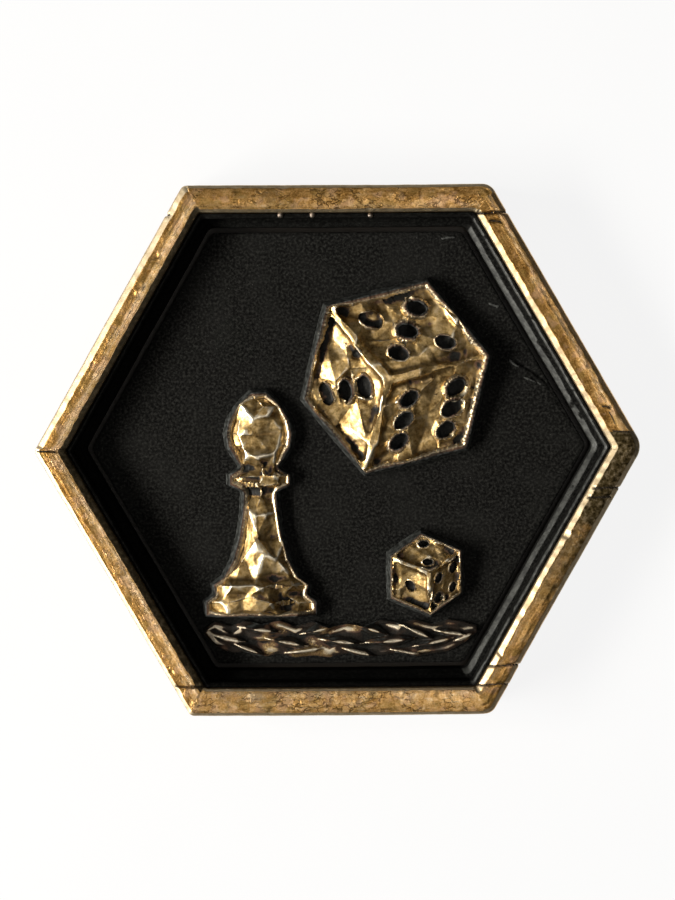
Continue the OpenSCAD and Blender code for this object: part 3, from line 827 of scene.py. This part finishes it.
def facet_heights(points, spacing, seed):
    """Heights from -1 to 1, flat inside each triangle of an uneven net"""
    plan = points[:, :2]
    random = np.random.default_rng(seed)
    net = lattice(plan.min(axis=0) - 2 * spacing, plan.max(axis=0) + 2 * spacing, spacing)
    net[::2, :, 0] += spacing / 2
    net = net.reshape(-1, 2)
    net = net + random.uniform(-0.32, 0.32, net.shape) * spacing
    heights = random.choice([-1, 1], len(net)) * random.uniform(0.3, 1, len(net))
    net = delaunay_2d_cdt([Vector(p) for p in net], [], [], 0, 1e-7)
    result = np.zeros(len(points))
    for triangle in net[2]:
        corners = np.array([net[0][k][:] for k in triangle])
        boxed = (plan >= corners.min(axis=0)) & (plan <= corners.max(axis=0))
        near = np.flatnonzero(boxed.all(axis=1))
        turn = np.linalg.inv(corners[1:] - corners[0])
        shares = (plan[near] - corners[0]) @ turn
        inside = (shares.min(axis=1) >= -1e-9) & (shares.sum(axis=1) <= 1 + 1e-9)
        h = heights[[net[3][k][0] for k in triangle]]
        result[near[inside]] = h[0] + shares[inside] @ (h[1:] - h[0])
    return result


def relief_lift(points, top, folds, spacing, seed):
    """How far each point moves along its normal: facets and pits on the top, and grain all over"""
    facets = 0
    if folds:
        large = facet_heights(points, spacing, seed)
        small = facet_heights(points, spacing / 2.1, seed + 5)
        facets = folds[0] * (large - 1) + folds[1] * (small - 1)
    pits = smoothstep(0.4, 0.75, value_noise(points / 0.22, seed + 8))
    lift = top * (facets - 0.01 * pits) + 0.005 * value_noise(points / 0.5, seed + 9) - 0.005
    return np.where(points[:, 2] < FLOOR_TOP + 0.02, 0, lift)


def relief_layers(points, top, well, bulge, patches, seed):
    """What the gilt finish reads from how far each point stands out"""
    crevice = smoothstep(1.0, 2.6, -bulge + 0.5 * value_noise(points / 0.3, seed + 5)) * top
    gild = top * (1 - crevice) * (1 - well)
    gild *= (1 - patches) * smoothstep(0.0, 0.8, bulge + 0.2 * value_noise(points / 0.5, seed + 3)) + patches
    # Painted shade in the valleys between the facets
    return {"gild": gild, "valley_shade": smoothstep(0.0, 1.2, -bulge) * top}


def relief(node, voxel, folds, spacing, gilding, seed, finish):
    mesh = remeshed(node, voxel)
    pairs = neighbours(mesh)

    def smoothed(values, passes):
        return averaged(values, pairs, int(passes * (COARSE_VOXEL / voxel) ** 2))

    points, normal = mesh_points(mesh), mesh_normals(mesh)
    slope = smoothed(normal, SLOPE_PASSES)
    up = smoothstep(0.35, 0.6, slope[:, 2] / norm(slope, axis=1))
    top = up * smoothstep(0.12, 0.3, points[:, 2] - FLOOR_TOP)
    wide = smoothed(points[:, 2], WELL_PASSES) - points[:, 2]
    wash = 0.03 * value_noise(points / 0.9, seed + 6) + 0.02 * value_noise(points / 0.3, seed + 4)
    well = smoothstep(0.1, 0.17, wide + wash) * top
    points = points + normal * relief_lift(points, top, folds, spacing, seed)[:, None]
    points[:, 2] = np.minimum(points[:, 2], high_mm(node)[2])
    move_points(mesh, points)

    surroundings = smoothed(points, FACET_PASSES if folds else CREST_PASSES)
    bulge = averaged(((points - surroundings) * mesh_normals(mesh)).sum(axis=1), pairs, 1)
    bulge /= np.abs(bulge[top > 0.9]).mean()
    # Painted highlight on the convex folds, partly real rubbing of the gold
    layers = {"wall": 1 - up, "ridge": smoothstep(0.4, 1.1, bulge) * top}
    patches = gilding
    if not folds:
        within = smoothstep(0.75, 0.98, smoothed(top, INWARD_PASSES))
        bulge = bulge * within - (1 - within)
        # Ground band: painted highlight along the crests, with a dull grey painted sheen on them
        ridge = smoothstep(-0.1, 1.0, bulge + 0.3 * value_noise(points / 1.3, seed + 2)) * top
        layers["ridge"] = ridge
        layers["dust_and_sheen"] = ridge * (0.6 + 0.4 * value_noise(points / 1.6, seed + 11))
        patches = gilding + 0.35 * smoothstep(0.1, 0.5, value_noise(points / 1.1, seed + 7))
    layers.update(relief_layers(points, top, well, bulge, patches, seed))
    for name, values in layers.items():
        set_attribute(mesh, name, values)
    move_points(mesh, points * MM)
    mesh.shade_smooth()
    dress(mesh, node, finish)


# Materials

# Places of a mix node's color sockets
MIX_A, MIX_B, MIX_RESULT = 6, 7, 2


class Finish:
    """A material's nodes. A value is a number, a color or the output of a node."""

    def __init__(self, name):
        self.material = bpy.data.materials.new(name)
        self.material.use_nodes = True
        self.tree = self.material.node_tree
        self.shader = self.tree.nodes["Principled BSDF"]
        self.place = self.scaled(self.node("TexCoord").outputs["Object"], (1 / MM,) * 3)

    def node(self, kind):
        return self.tree.nodes.new("ShaderNode" + kind)

    def scaled(self, vector, factors, shift=0.0):
        mapping = self.node("Mapping")
        self.put(vector, mapping.inputs["Vector"])
        self.put(factors, mapping.inputs["Scale"])
        self.put((shift,) * 3, mapping.inputs["Location"])
        return mapping.outputs["Vector"]

    def attribute(self, name, output="Fac"):
        node = self.node("Attribute")
        node.attribute_name = name
        return node.outputs[output]

    def attributes(self, *names):
        return [self.attribute(name) for name in names]

    def put(self, value, socket):
        if isinstance(value, bpy.types.NodeSocket):
            self.tree.links.new(value, socket)
        elif socket.type == "RGBA":
            socket.default_value = (*value, 1)
        else:
            socket.default_value = value

    def texture(self, kind, vector, size, shift=0.0, stretch=(1, 1, 1)):
        """A texture whose pattern has this size, divided by stretch along each axis"""
        node = self.node(kind)
        factors = tuple(s / size for s in stretch)
        self.put(self.scaled(vector, factors, shift), node.inputs["Vector"])
        self.put(1, node.inputs["Scale"])
        return node

    def noise(self, size, detail, roughness, shift=0.0, vector=None, stretch=(1, 1, 1)):
        node = self.texture("TexNoise", vector or self.place, size, shift, stretch)
        self.put(detail, node.inputs["Detail"])
        self.put(roughness, node.inputs["Roughness"])
        return node.outputs["Fac"]

    def cells(self, size, shift, feature="F1", output="Distance", vector=None, stretch=(1, 1, 1)):
        node = self.texture("TexVoronoi", vector or self.place, size, shift, stretch)
        node.feature = feature
        return node.outputs[output]

    def warped(self, vector, size, reach):
        """The vector moved about by noise"""
        noise = self.texture("TexNoise", vector, size)
        moved = self.node("VectorMath")
        moved.operation = "MULTIPLY_ADD"
        for value, socket in zip((noise.outputs["Color"], (reach,) * 3, vector), moved.inputs):
            self.put(value, socket)
        return moved.outputs["Vector"]

    def math(self, kind, *values):
        node = self.node("Math")
        node.operation = kind
        for value, socket in zip(values, node.inputs):
            self.put(value, socket)
        return node.outputs["Value"]

    def times(self, *values):
        return functools.reduce(lambda a, b: self.math("MULTIPLY", a, b), values)

    def total(self, *terms):
        """The sum of the terms, each a value or a value and its weight"""
        values = [self.times(*term) if isinstance(term, tuple) else term for term in terms]
        return functools.reduce(lambda a, b: self.math("ADD", a, b), values)

    def rest(self, value):
        """What a share leaves of one"""
        return self.math("SUBTRACT", 1.0, value)

    def mapped(self, value, kind, end, low, high):
        node = self.node("MapRange")
        node.interpolation_type = kind
        self.put(value, node.inputs["Value"])
        self.put(low, node.inputs[end + " Min"])
        self.put(high, node.inputs[end + " Max"])
        return node.outputs["Result"]

    def between(self, value, low, high):
        """0 below low, 1 above high, smooth in between"""
        return self.mapped(value, "SMOOTHSTEP", "From", low, high)

    def span(self, value, low, high):
        """A share from 0 to 1 mapped to the span from low to high"""
        return self.mapped(value, "LINEAR", "To", low, high)

    def ramp(self, value, stops):
        node = self.node("ValToRGB")
        elements = node.color_ramp.elements
        while len(elements) < len(stops):
            elements.new(0.5)
        for element, (position, *color) in zip(elements, stops):
            element.position = position
            element.color = (*color, 1)
        self.put(value, node.inputs["Fac"])
        return node.outputs["Color"]

    def mix(self, share, a, b):
        node = self.node("Mix")
        node.data_type = "RGBA"
        self.put(share, node.inputs["Factor"])
        self.put(a, node.inputs[MIX_A])
        self.put(b, node.inputs[MIX_B])
        return node.outputs[MIX_RESULT]

    def tinted(self, color, *tints):
        """The color under tints, each a share, its strength and a color"""
        for share, strength, tint in tints:
            color = self.mix(self.times(share, strength), color, tint)
        return color

    def bump(self, height, depth, strength):
        node = self.node("Bump")
        self.put(strength, node.inputs["Strength"])
        self.put(depth * MM, node.inputs["Distance"])
        self.put(height, node.inputs["Height"])
        return node.outputs["Normal"]

    def set(self, **values):
        for name, value in values.items():
            self.put(value, self.shader.inputs[name.replace("_", " ")])
        return self.material


# Colors of the brass. A ramp's stops are each a place and a color.
BRASS = [(0.36, 0.19, 0.093, 0.021), (0.43, 0.42, 0.222, 0.06), (0.49, 0.66, 0.37, 0.12),
         (0.55, 0.83, 0.51, 0.2), (0.63, 0.93, 0.67, 0.38)]
PATINA = [(0.35, 0.02, 0.014, 0.005), (0.5, 0.09, 0.065, 0.028), (0.66, 0.26, 0.2, 0.12)]
SOLDER = [(0.4, 0.2, 0.16, 0.13), (0.6, 0.5, 0.44, 0.38)]
OLIVE = (0.28, 0.19, 0.05)
PINK = (0.8, 0.5, 0.31)
EDGE_BROWN = (0.2, 0.11, 0.03)
PALE_HIGHLIGHT = (0.95, 0.74, 0.5)
CRACK_BROWN = (0.07, 0.035, 0.01)
DULL_POLISH_HIGHLIGHT = (0.62, 0.49, 0.31)
BRIGHT_POLISH_HIGHLIGHT = (0.76, 0.63, 0.43)
GRIME_AND_SHADE_BLACK = (0.012, 0.009, 0.006)
# Size of the cells that the brass is crazed into, and how they are drawn out along a bar
CELL_SIZE = 0.62
CELL_STRETCH = (0.8, 2.0, 1)


def brass_finish(name, dullness):
    f = Finish(name)
    flow = f.attribute("flow", "Vector")
    grime_and_shade, polish_and_highlight, edge, patina_and_shade = f.attributes("grime_and_shade", "polish_and_highlight", "edge", "patina_and_shade")
    crazed, tint, line, solder = f.attributes("cells", "tint", "line", "solder")

    patches = f.noise(1.6, 4, 0.6)
    mottle = f.noise(0.45, 4, 0.62, 3.7)
    grain = f.noise(0.13, 3, 0.6, 9.1)
    streaks = f.noise(1, 4, 0.6, 0, flow, (0.5, 6.2, 1))
    torn = f.warped(flow, 0.4, 0.6)
    stone = f.cells(CELL_SIZE, 0, "F1", "Color", torn, CELL_STRETCH)
    crackle = f.cells(CELL_SIZE, 0, "DISTANCE_TO_EDGE", "Distance", torn, CELL_STRETCH)
    # The tint paints light and shade into the tone, and pink patches gather a little where it paints light
    tone = f.total((patches, 0.24), (mottle, 0.28), (streaks, 0.18), (grain, 0.3),
                   (f.total(stone, -0.5), f.times(crazed, 0.09)), (tint, 0.05))
    olive = f.between(f.noise(1.1, 3, 0.5, 21.3), 0.5, 0.62)
    pink = f.between(f.total(f.noise(0.9, 3, 0.5, 33.3), (tint, 0.04)), 0.53, 0.64)
    cracks = f.times(f.between(crackle, 0.1, 0.02), f.between(f.noise(0.9, 3, 0.6, 51.0), 0.44, 0.6), crazed)
    # Edge brown: painted shade on the rim's crown shoulders, and a darker chamfer on the back plate
    color = f.tinted(f.ramp(tone, BRASS), (olive, 0.4, OLIVE), (pink, 0.4, PINK), (edge, 0.6, EDGE_BROWN),
                     # The pale streak is a painted highlight
                     (line, 0.7, PALE_HIGHLIGHT), (cracks, 0.75, CRACK_BROWN))

    dark = f.between(f.total((patina_and_shade, 1.5), (f.noise(0.7, 4, 0.65, 40.0), 0.7)), 0.6, 1.25)
    color = f.mix(dark, color, f.ramp(f.noise(0.35, 4, 0.6, 5.0), PATINA))
    # Painted highlight on the chamfers and bevels, partly real polishing
    color = f.mix(polish_and_highlight, color, f.mix(f.between(mottle, 0.35, 0.6), DULL_POLISH_HIGHLIGHT, BRIGHT_POLISH_HIGHLIGHT))
    color = f.mix(solder, color, f.ramp(mottle, SOLDER))
    pits = f.times(f.between(f.cells(0.22, 1.3), 0.16, 0.05), f.between(mottle, 0.52, 0.64), f.rest(polish_and_highlight))
    # Dirt in cracks and dents, and painted shade on the plate where it shows down the groove
    blackened = f.between(f.total(grime_and_shade, (grain, 0.3)), 0.4, 0.85)
    blackened = f.math("MAXIMUM", blackened, f.times(pits, 0.6))
    color = f.mix(blackened, color, GRIME_AND_SHADE_BLACK)

    rough = f.total(f.span(tone, 0.5, 0.19), dullness, (line, -0.07), (dark, 0.1), (polish_and_highlight, 0.12))
    metal = f.rest(f.times(blackened, 0.95))
    height = f.total((mottle, 0.5), (grain, 0.5), (pits, -0.6), (cracks, -0.5))
    normal = f.bump(f.times(height, f.span(polish_and_highlight, 1.0, 0.2)), 0.04, 0.6)
    return f.set(Base_Color=color, Roughness=rough, Metallic=metal, Normal=normal, Specular_IOR_Level=0.3)


# Colors of the lacquer
LACQUER = [(0.36, 0.003, 0.003, 0.0028), (0.5, 0.009, 0.009, 0.0084), (0.66, 0.025, 0.025, 0.023)]
SCUFF_HIGHLIGHTS = [(0.4, 0.004, 0.005, 0.004), (0.5, 0.018, 0.02, 0.017), (0.6, 0.042, 0.045, 0.04)]
FADED_BLACK = (0.019, 0.019, 0.0178)
DUST_GREY = (0.12, 0.12, 0.11)
SHADE_BLACK = (0.0015, 0.0015, 0.0014)


def lacquer_finish():
    f = Finish("black_lacquer")
    edge, deep = f.attributes("edge", "deep")
    grain = f.noise(0.2, 3, 0.6)
    fine = f.noise(0.09, 2, 0.5, 4.0)
    blotches = f.noise(3.2, 3, 0.5, 8.0)
    scuffs = f.noise(0.45, 4, 0.65, 12.0)
    dust_and_sheen = f.times(f.between(f.cells(0.55, 2.0), 0.085, 0.03), f.between(blotches, 0.42, 0.6))
    color = f.tinted(f.ramp(grain, LACQUER), (f.between(blotches, 0.45, 0.7), 0.3, FADED_BLACK),
                     (dust_and_sheen, 0.5, DUST_GREY))
    # Pale scuffs on worn edges, on the liners partly painted highlight; sides without them get painted shade
    worn = f.between(f.total(edge, (f.total(fine, -0.5), 0.8)), 0.2, 0.8)
    color = f.tinted(f.mix(worn, color, f.ramp(scuffs, SCUFF_HIGHLIGHTS)), (deep, 0.8, SHADE_BLACK))
    rough = f.total(f.span(grain, 0.7, 0.8), (worn, -0.2))
    normal = f.bump(f.total((grain, 0.7), (fine, 0.3)), 0.03, 0.8)
    shine = f.times(f.span(worn, 0.04, 1.0), f.span(scuffs, 0.5, 1.2), f.span(deep, 1.0, 0.3))
    return f.set(Base_Color=color, Roughness=rough, Normal=normal, Specular_IOR_Level=shine)


# Colors of the relief: gold on the top, black below it and on the walls, painted shade in the valleys and
# painted highlight on the crests
GOLD = [(0.36, 0.13, 0.07, 0.022), (0.45, 0.4, 0.26, 0.095), (0.54, 0.7, 0.49, 0.22),
        (0.64, 0.9, 0.69, 0.4)]
UNDERCOAT = [(0.4, 0.003, 0.003, 0.0027), (0.65, 0.016, 0.015, 0.012)]
WALLS = [(0.38, 0.012, 0.012, 0.011), (0.5, 0.032, 0.034, 0.032), (0.62, 0.07, 0.073, 0.07)]
VALLEY_SHADE_BROWN = (0.11, 0.065, 0.025)
CREST_HIGHLIGHT = (0.95, 0.87, 0.69)
DARK_RUB = (0.03, 0.02, 0.014)
LIGHT_RUB = (0.1, 0.055, 0.035)
CREST_SHEEN_GREY = (0.5, 0.43, 0.36)


def gilt_finish():
    f = Finish("relief_gold")
    gild, ridge, valley_shade, wall, dust_and_sheen = f.attributes("gild", "ridge", "valley_shade", "wall", "dust_and_sheen")
    mottle = f.noise(0.4, 4, 0.6)
    grain = f.noise(0.13, 3, 0.6, 5.0)
    patches = f.noise(1.3, 3, 0.5, 11.0)
    tone = f.total((grain, 0.2), (patches, 0.3), (mottle, 0.5))
    # Painted shade in the valleys and painted highlight on the crests
    gold = f.tinted(f.ramp(tone, GOLD), (valley_shade, 0.7, VALLEY_SHADE_BROWN), (ridge, 0.85, CREST_HIGHLIGHT))
    black = f.mix(wall, f.ramp(grain, UNDERCOAT), f.ramp(mottle, WALLS))
    rubbed = f.mix(f.between(patches, 0.4, 0.6), DARK_RUB, LIGHT_RUB)
    black = f.mix(f.between(gild, 0.08, 0.24), black, rubbed)
    pits = f.times(f.between(f.cells(0.18, 1.0), 0.18, 0.06), f.between(mottle, 0.5, 0.62))
    share = f.between(f.total(gild, (f.total(grain, -0.5), 0.8)), 0.3, 0.62)
    share = f.times(share, f.rest(f.times(pits, 0.6)))
    # Dull grey painted sheen on the ground band's crests
    color = f.tinted(f.mix(share, black, gold), (dust_and_sheen, 0.6, CREST_SHEEN_GREY))
    rough = f.total(f.span(tone, 0.54, 0.22), (f.rest(share), 0.12), (dust_and_sheen, 0.25))
    metal = f.times(share, f.span(dust_and_sheen, 1.0, 0.3))
    normal = f.bump(f.total((mottle, 0.5), (grain, 0.5), (pits, -0.5)), 0.025, 0.55)
    return f.set(Base_Color=color, Roughness=rough, Metallic=metal, Normal=normal, Specular_IOR_Level=0.15)


rim_brass = brass_finish("rim_brass", 0.0)
plate_brass = brass_finish("plate_brass", 0.06)
black_lacquer = lacquer_finish()
relief_gold = gilt_finish()

rim_bars(rim_brass)
back_plate(plate_brass)
for piece, settings in LINERS.items():
    liner(piece, *settings, black_lacquer)
floor_panel(black_lacquer)
for piece, settings in RELIEF_PIECES.items():
    relief(piece, *settings, relief_gold)


# Floor, lamps and world

PAPER = [(0.3, 0.86, 0.86, 0.86), (0.7, 0.9, 0.9, 0.9)]
PAPER_GLOW = 0.87
PAPER_HALF = 1500
# Name, azimuth and elevation in degrees, distance, width, height, power in watts and color
LAMPS = [
    ("key", 188, 32, 350, 260, 95, 2.1, (1, 0.96, 0.88)),
    ("right", 0, 75, 400, 150, 120, 0.145, (1, 0.95, 0.88)),
    ("behind", 90, 66, 400, 200, 90, 0.035, (1, 0.97, 0.92)),
    ("front", 270, 66, 400, 200, 90, 0.075, (1, 0.97, 0.92)),
]
WORLD_STRENGTH = 0.03
WHITE = (1, 1, 1)


def paper_finish():
    """Pale paper that keeps the token's shadow, lifted towards white where it is seen"""
    f = Finish("paper")
    f.set(Base_Color=f.ramp(f.noise(9, 3, 0.5), PAPER), Roughness=0.85)
    path = f.node("LightPath")
    seen = f.math("MAXIMUM", path.outputs["Is Camera Ray"], path.outputs["Is Glossy Ray"])
    seen = f.math("MAXIMUM", seen, path.outputs["Is Transmission Ray"])
    glow = f.node("Emission")
    f.put(WHITE, glow.inputs["Color"])
    f.put(1, glow.inputs["Strength"])
    blend = f.node("MixShader")
    f.put(f.times(seen, PAPER_GLOW), blend.inputs["Fac"])
    f.put(f.shader.outputs["BSDF"], blend.inputs[1])
    f.put(glow.outputs["Emission"], blend.inputs[2])
    f.put(blend.outputs["Shader"], f.tree.nodes["Material Output"].inputs["Surface"])
    return f.material


def studio_floor():
    half = PAPER_HALF * MM
    mesh = bpy.data.meshes.new("studio_floor")
    corners = [(-half, -half, 0), (half, -half, 0), (half, half, 0), (-half, half, 0)]
    mesh.from_pydata(corners, [], [(0, 1, 2, 3)])
    mesh.materials.append(paper_finish())
    new_object("studio_floor", mesh)


def lamp(name, azimuth, elevation, distance, width, height, power, color):
    """An area lamp that faces the token"""
    data = bpy.data.lights.new(name, "AREA")
    data.shape = "RECTANGLE"
    data.size = width * MM
    data.size_y = height * MM
    data.energy = power
    data.color = color
    obj = new_object(name, data)
    a, e = radians(azimuth), radians(elevation)
    way = Vector((cos(a) * cos(e), sin(a) * cos(e), sin(e)))
    obj.location = Vector((0, 0, TOP * MM)) + way * distance * MM
    obj.rotation_euler = way.to_track_quat("Z", "Y").to_euler()


def world():
    scene_world = bpy.data.worlds.new("studio")
    scene_world.use_nodes = True
    background = scene_world.node_tree.nodes["Background"]
    background.inputs["Color"].default_value = (*WHITE, 1)
    background.inputs["Strength"].default_value = WORLD_STRENGTH
    bpy.context.scene.world = scene_world


# Fitted to the outline in the photograph, whose frame is 675 by 900 pixels
IMAGE_HEIGHT = 900
FOCAL_PIXELS = 2312.3
CAMERA_DISTANCE = 170
CAMERA_TILT = radians(4)
CAMERA_ROLL = radians(-0.5)
CAMERA_AIM = (-0.097, 0.081, 4.9)
SENSOR = 36
NEAR_CLIP = 10
FAR_CLIP = 10000


def camera():
    way = Vector((0, sin(CAMERA_TILT), cos(CAMERA_TILT)))
    right = Vector((0, 1, 0)).cross(way).normalized()
    up = way.cross(right)
    turned_right = right * cos(CAMERA_ROLL) + up * sin(CAMERA_ROLL)
    turned_up = up * cos(CAMERA_ROLL) - right * sin(CAMERA_ROLL)
    data = bpy.data.cameras.new("camera")
    data.sensor_fit = "VERTICAL"
    data.sensor_height = SENSOR
    data.lens = SENSOR * FOCAL_PIXELS / IMAGE_HEIGHT
    data.clip_start = NEAR_CLIP * MM
    data.clip_end = FAR_CLIP * MM
    obj = new_object("camera", data)
    turn = Matrix((turned_right, turned_up, way)).transposed().to_4x4()
    place = (Vector(CAMERA_AIM) + way * CAMERA_DISTANCE) * MM
    obj.matrix_world = Matrix.Translation(place) @ turn
    bpy.context.scene.camera = obj


studio_floor()
for settings in LAMPS:
    lamp(*settings)
world()
camera()
bpy.context.scene.view_settings.view_transform = "Standard"
